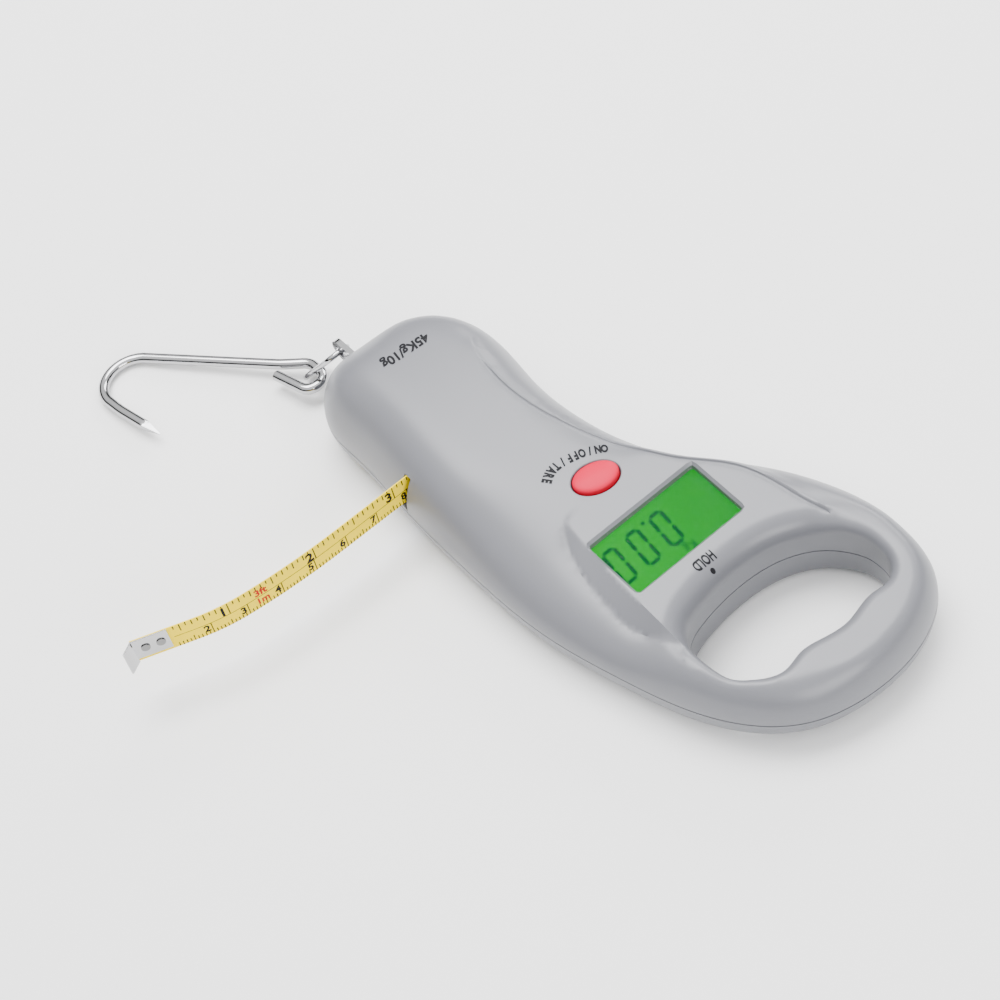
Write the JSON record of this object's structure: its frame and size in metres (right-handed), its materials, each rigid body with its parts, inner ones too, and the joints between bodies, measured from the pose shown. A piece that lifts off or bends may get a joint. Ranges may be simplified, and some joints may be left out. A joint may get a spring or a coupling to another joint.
{
  "type": "digital fish scale",
  "caption": "Hand-held hanging scale for fish with a loop handle, green display, oval power button, wire hook on a link and a pull-out measuring tape",
  "frame": {"origin": "on the flat back, on the axis of the tape reel", "axes": "+Z out of the display face, +Y towards the handle with the hook at -Y, +X the side where the tape comes out"},
  "size_m": [0.1583, 0.2299, 0.0282],
  "materials": {
    "shell": "satin",
    "window": "polished",
    "lcd": "gloss",
    "backlight": "matte",
    "black_rubber": "matte",
    "board": "satin",
    "epoxy": "matte",
    "inner_plastic": "matte",
    "battery_can": "gloss",
    "screw_steel": "satin",
    "bright_steel": "polished",
    "cell_aluminium": "satin",
    "gauge_film": "satin",
    "button": "satin",
    "tape": "satin"
  },
  "bodies": {
    "housing": {"front_shell": "shell", "back_shell": "shell", "case_screws": "screw_steel", "load_cell_screws": "screw_steel", "board_screws": "screw_steel", "reel_cover_screws": "screw_steel", "display_lens": "window", "display_cell": "lcd", "display_backlight": "backlight", "display_strips": "black_rubber", "circuit_board": "board", "chip_cover": "epoxy", "button_switch": "epoxy", "battery_tray": "inner_plastic", "battery_cells": "battery_can", "battery_contacts": "screw_steel", "contact_springs": "screw_steel", "load_cell": "cell_aluminium", "lug_pin": "bright_steel", "strain_gauges": "gauge_film", "hook_lug": "bright_steel", "reel_axle": "bright_steel", "reel_cover": "inner_plastic", "reel_spring": "screw_steel"},
    "button": {"power_button": "button"},
    "link": {"link_ring": "bright_steel"},
    "hook": {"hook": "bright_steel"},
    "tape": {"tape_blade": "tape", "tape_clip": "bright_steel", "clip_rivets": "bright_steel"},
    "reel": {"reel_drum": "inner_plastic", "tape_coil": "tape"},
    "door": {"battery_door": "shell"}
  },
  "joints": [
    {"name": "button_press", "type": "slide", "parent": "housing", "child": "button", "axis": [0, 0, -1], "range_m": [0, 0.0008], "stiffness_N_per_m": 800},
    {"name": "link_swing", "type": "hinge", "parent": "housing", "child": "link", "pos_m": [0.006, -0.0638, 0.0145], "axis": [0.9266, 0.2419, 0.2879], "range_deg": [-95, 30]},
    {"name": "hook_swing", "type": "hinge", "parent": "link", "child": "hook", "pos_m": [0.0113, -0.0722, 0.0045], "axis": [0.9266, 0.2419, 0.2879], "range_deg": [-70, 4]},
    {"name": "tape_slide", "type": "slide", "parent": "housing", "child": "tape", "axis": [1, 0, 0], "range_m": [-0.012, 0.02]},
    {"name": "reel_turn", "type": "hinge", "parent": "housing", "child": "reel", "pos_m": [0, 0, 0.0165], "axis": [0, 0, 1], "range_deg": [-60, 95]},
    {"name": "door_lift", "type": "slide", "parent": "housing", "child": "door", "axis": [0, 0, -1], "range_m": [0, 0.012]}
  ],
  "couplings": [
    {"joint": "reel_turn", "follows": "tape_slide", "rad_per_m": 76.923}
  ]
}
